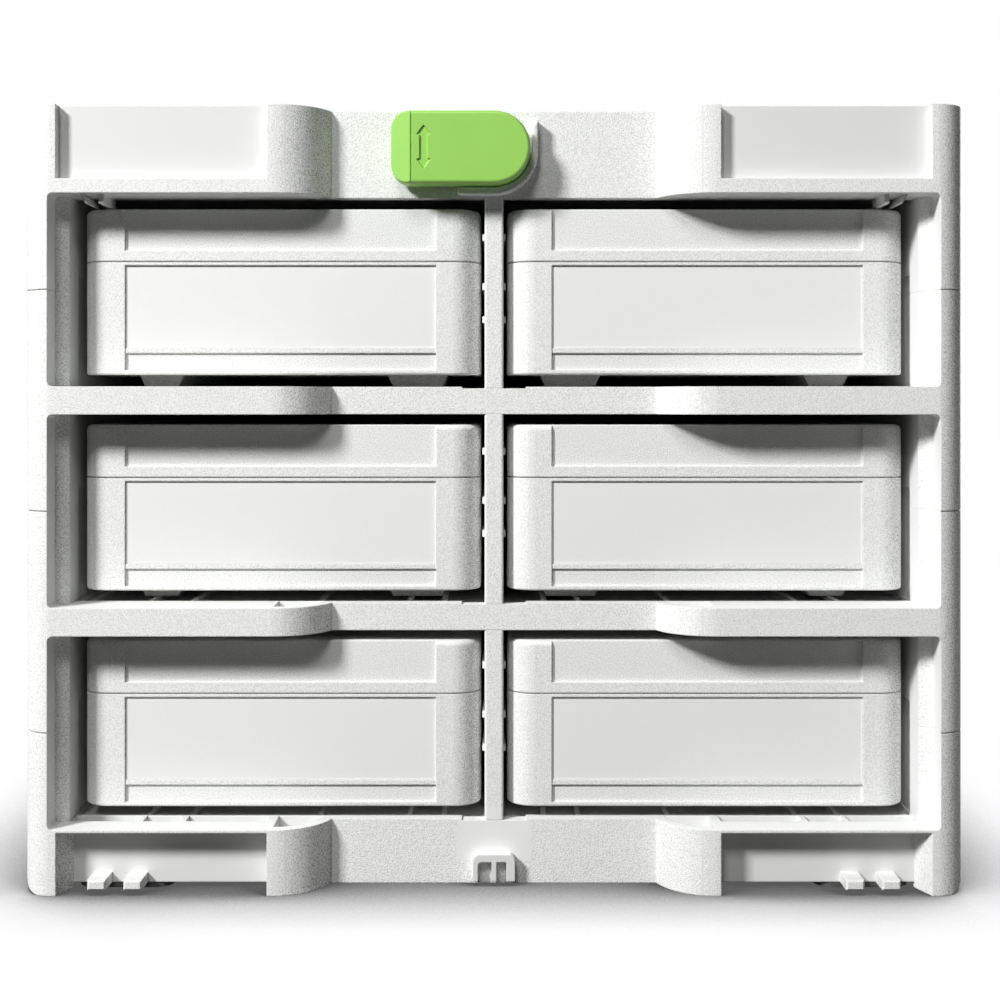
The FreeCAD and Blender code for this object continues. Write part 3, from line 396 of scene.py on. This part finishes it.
arrow_place = -0.0301        # from the latch's pivot, along the lever
arrow_half_height = 0.0091
arrow_shaft = 0.0034         # width
arrow_head = 0.0060          # width
arrow_head_height = 0.0038
arrow_barb = 0.0003          # height over which the shaft widens to a head
arrow_tip = 0.06             # share of a head's width that is left at its tip
arrow_depth = 0.0006

screw_head_radius = 0.0026
screw_shank_radius = 0.0015
screw_head_height = 0.0016
screw_rim = screw_head_height / 4          # straight edge of the head, before its cone
screw_point = screw_head_height / 2
screw_point_share = 0.4      # of the shank's width, at the end of the point
screw_length = 0.0110
screw_sides = 40
screw_rounding = 0.0001
cross_arm = 0.0016
cross_width = 0.0006
cross_depth = 0.0009
cross_taper = 0.55           # share of the cross that is left at its floor

merge_distance = 0.000001
smooth_angle = math.radians(30.0)          # an edge that turns less is shaded smooth
rounded_angle = math.radians(40.0)         # and a screw's edge that turns more is rounded


def select_only(piece):
    """Make one piece the active and only selected one."""
    bpy.ops.object.select_all(action="DESELECT")
    piece.select_set(True)
    bpy.context.view_layer.objects.active = piece


def select_faces(piece, chosen):
    """In edit mode, select only the faces for which chosen(face) holds."""
    bpy.ops.mesh.select_all(action="DESELECT")
    bpy.ops.mesh.select_mode(type="FACE")
    bpy.ops.object.mode_set(mode="OBJECT")
    for face in piece.data.polygons:
        face.select = chosen(face)
    bpy.ops.object.mode_set(mode="EDIT")


def selected_middle(piece):
    """Middle of the selected faces."""
    piece.update_from_editmode()
    middles = [face.center for face in piece.data.polygons if face.select]
    return sum(middles, Vector()) / len(middles)


def scale_selected(piece, factors):
    """Scale the selected faces about their own middle."""
    middle = piece.matrix_world @ selected_middle(piece)
    bpy.ops.transform.resize(value=factors, center_override=middle)


def settle(piece):
    """Bring the piece's place into its mesh."""
    select_only(piece)
    bpy.ops.object.transform_apply(location=True, rotation=True, scale=True)


def cut_away(piece, tool):
    """Cut a tool out of a piece, and throw the tool away."""
    cut = piece.modifiers.new("cut", "BOOLEAN")
    cut.operation = "DIFFERENCE"
    cut.object = tool
    select_only(piece)
    bpy.ops.object.modifier_apply(modifier=cut.name)
    bpy.data.objects.remove(tool)


def shade_round_flats(piece, flat):
    """Smooth shading, with a crisp line round the faces for which flat(face) holds."""
    select_only(piece)
    bpy.ops.object.mode_set(mode="EDIT")
    select_faces(piece, flat)
    bpy.ops.mesh.region_to_loop()
    bpy.ops.mesh.mark_sharp()
    bpy.ops.object.mode_set(mode="OBJECT")
    bpy.ops.object.shade_smooth_by_angle(angle=smooth_angle)


def arrow_tool():
    """Double arrow that points up and down, its rear half in the lever's front."""
    shaft_height = 2 * (arrow_half_height - arrow_head_height - arrow_barb)
    near_end = 0.49 * shaft_height
    bpy.ops.mesh.primitive_cube_add(size=1.0, location=(arrow_place, lever_low[1], pivot_z),
                                    scale=(arrow_shaft, 2 * arrow_depth, shaft_height))
    tool = bpy.context.active_object
    settle(tool)
    bpy.ops.object.mode_set(mode="EDIT")
    for direction in (1, -1):
        select_faces(tool, lambda face: (face.center.z - pivot_z) * direction > near_end)
        bpy.ops.mesh.extrude_region_move(
            TRANSFORM_OT_translate={"value": (0.0, 0.0, direction * arrow_barb)})
        scale_selected(tool, (arrow_head / arrow_shaft, 1.0, 1.0))
        bpy.ops.mesh.extrude_region_move(
            TRANSFORM_OT_translate={"value": (0.0, 0.0, direction * arrow_head_height)})
        scale_selected(tool, (arrow_tip, 1.0, 1.0))
    bpy.ops.object.mode_set(mode="OBJECT")
    return tool


def front_of_lever(face):
    """True for the lever's flat front and for its sloped grip end, but not for its rounds."""
    return face.normal.y < -0.8 and abs(face.normal.z) < 0.001


def looks_forward(face):
    """True for a face that looks towards the front of the rack."""
    return face.normal.y < -0.9


def looks_back(face):
    """True for a face that looks straight back, such as a screw's head."""
    return face.normal.y > 0.999


def engraved_latch(finish):
    """The latch lever with a plain double arrow engraved in its front."""
    mesh = frame["nodes"]["latch_lever"].data.copy()
    lever = bpy.data.objects.new("engraved_latch_lever", mesh)
    bpy.context.collection.objects.link(lever)
    select_only(lever)
    bpy.ops.object.mode_set(mode="EDIT")
    bpy.ops.mesh.select_all(action="SELECT")
    bpy.ops.mesh.remove_doubles(threshold=merge_distance)
    bpy.ops.mesh.customdata_custom_splitnormals_clear()
    bpy.ops.object.mode_set(mode="OBJECT")
    cut_away(lever, arrow_tool())
    shade_round_flats(lever, front_of_lever)
    lever.data.materials.clear()
    lever.data.materials.append(finish)
    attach(lever, "latch")
    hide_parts("latch_lever")


def extrude_forward(length):
    """Extrude the selected faces towards the front of the rack."""
    bpy.ops.mesh.extrude_region_move(TRANSFORM_OT_translate={"value": (0.0, -length, 0.0)})


def crossed_screw(finish):
    """One countersunk screw at the origin, with a cross in its head, which looks back."""
    bpy.ops.mesh.primitive_cylinder_add(vertices=screw_sides, radius=screw_head_radius,
                                        depth=screw_rim, location=(0.0, -screw_rim / 2, 0.0),
                                        rotation=(-math.pi / 2, 0.0, 0.0))
    screw = bpy.context.active_object
    settle(screw)
    bpy.ops.object.mode_set(mode="EDIT")
    select_faces(screw, looks_forward)
    extrude_forward(screw_head_height - screw_rim)
    narrow = screw_shank_radius / screw_head_radius
    scale_selected(screw, (narrow, 1.0, narrow))
    extrude_forward(screw_length - screw_head_height - screw_point)
    extrude_forward(screw_point)
    scale_selected(screw, (screw_point_share, 1.0, screw_point_share))
    bpy.ops.object.mode_set(mode="OBJECT")
    for width, height in ((2 * cross_arm, cross_width), (cross_width, 2 * cross_arm)):
        bpy.ops.mesh.primitive_cube_add(size=1.0, scale=(width, 2 * cross_depth, height))
        tool = bpy.context.active_object
        settle(tool)
        bpy.ops.object.mode_set(mode="EDIT")
        select_faces(tool, looks_forward)
        scale_selected(tool, (cross_taper, 1.0, cross_taper))
        bpy.ops.object.mode_set(mode="OBJECT")
        cut_away(screw, tool)
    rounding = screw.modifiers.new("rounding", "BEVEL")
    rounding.width = screw_rounding
    rounding.segments = 2
    rounding.limit_method = "ANGLE"
    rounding.angle_limit = rounded_angle
    select_only(screw)
    bpy.ops.object.modifier_apply(modifier=rounding.name)
    shade_round_flats(screw, looks_back)
    screw.data.materials.append(finish)
    return screw


def screw_levels(lowest, highest):
    """Heights of the screws' axes, lowest first, read from the screws' own solids."""
    solids = frame["nodes"]["back_panel_screws"].data
    groups = []
    for height in sorted({round(vertex.co.z, 5) for vertex in solids.vertices}):
        if not groups or height - groups[-1][-1] > 2 * screw_head_radius:
            groups.append([])
        groups[-1].append(height)
    middle = [(group[0] + group[-1]) / 2 for group in groups[1:-1]]
    return [lowest + screw_head_radius, *middle, highest - screw_head_radius]


def back_screws(finish):
    """A crossed screw in each countersunk hole of the back panel."""
    low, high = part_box("back_panel_screws")
    levels = screw_levels(low[2], high[2])
    model = crossed_screw(finish)
    count = 0
    for x in (low[0] + screw_head_radius, high[0] - screw_head_radius):
        for level in levels:
            count += 1
            screw = bpy.data.objects.new("back_screw_%d" % count, model.data.copy())
            bpy.context.collection.objects.link(screw)
            screw.location = (x, high[1], level)
            settle(screw)
            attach(screw, "rack")
            if count == 1:
                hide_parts("back_panel_screws")
    bpy.data.objects.remove(model)


# ---------------------------------------------------------------- studio

light_target = Vector((0.0, -0.12, 0.20))
light_distance = 2.60
dome_level = 0.030           # of the light that the surround throws on the rack
floor_size = 12.0
contact_reach = 0.085        # how near the rack the painted contact shadow reaches
contact_greys = (0.42, 0.10), (0.62, 0.42), (0.82, 0.90), (0.93, 1.0)   # greys of the painted contact shadow, hemmed in to open
white = (1.0, 1.0, 1.0)
paper_tones = (0.3, white), (0.7, (1.03, 1.03, 1.03))


def studio():
    """White floor with a soft painted contact shadow, a faint surround and three soft lights."""
    bpy.ops.mesh.primitive_plane_add(size=floor_size, location=(0.0, 0.0, 0.0))
    floor = bpy.context.active_object
    floor.name = "studio_floor"
    floor.data.materials.append(floor_paper())
    floor.visible_diffuse = False
    dome()
    soft_light("key_light", azimuth=49.0, elevation=33.4, size=0.43, power=83.5)
    soft_light("front_light", azimuth=14.0, elevation=44.0, size=0.64, power=22.3)
    soft_light("back_light", azimuth=-150.0, elevation=10.0, size=1.30, power=37.0)


def floor_paper():
    """Pale paper that glows evenly, with a painted contact shadow where the rack stands close to
    it.
    """
    material, tree, shader, place = new_material("floor_paper", specular=0.0, roughness=1.0)
    near = tree.nodes.new("ShaderNodeAmbientOcclusion")
    near.samples = 8
    near.inputs["Distance"].default_value = contact_reach
    shade = shades(tree, near.outputs["AO"], white, contact_greys)
    paper = ramp(tree, noise(tree, place, scale=1.5), paper_tones)
    glow = mix_colour(tree, 1.0, shade, paper, blend="MULTIPLY")
    tree.links.new(glow, shader.inputs["Emission Color"])
    shader.inputs["Emission Strength"].default_value = 1.0
    shader.inputs["Base Color"].default_value = (0.0, 0.0, 0.0, 1.0)
    return material


def dome():
    """Surround that is white to the eye, but lights the rack only faintly."""
    world = bpy.data.worlds.new("surround")
    world.use_nodes = True
    tree = world.node_tree
    background = tree.nodes["Background"]
    background.inputs["Color"].default_value = (1.0, 1.0, 1.0, 1.0)
    seen = tree.nodes.new("ShaderNodeLightPath").outputs["Is Camera Ray"]
    tree.links.new(math_node(tree, "MAXIMUM", dome_level, seen), background.inputs["Strength"])
    bpy.context.scene.world = world


def soft_light(name, azimuth, elevation, size, power):
    """Square area light aimed at the rack, azimuth degrees to the left of straight in front."""
    turn = math.radians(azimuth)
    rise = math.radians(elevation)
    away = Vector((-math.sin(turn) * math.cos(rise),
                   -math.cos(turn) * math.cos(rise),
                   math.sin(rise)))
    data = bpy.data.lights.new(name, "AREA")
    data.shape = "SQUARE"
    data.size = size
    data.energy = power
    light = bpy.data.objects.new(name, data)
    light.location = light_target + away * light_distance
    light.rotation_euler = away.to_track_quat("Z", "Y").to_euler()
    bpy.context.collection.objects.link(light)


# ---------------------------------------------------------------- make the picture

place_camera()
finishes = finish_nodes()
engraved_latch(finishes["latch"])
back_screws(finishes["steel"])
studio()
bpy.context.scene.view_settings.view_transform = "Standard"
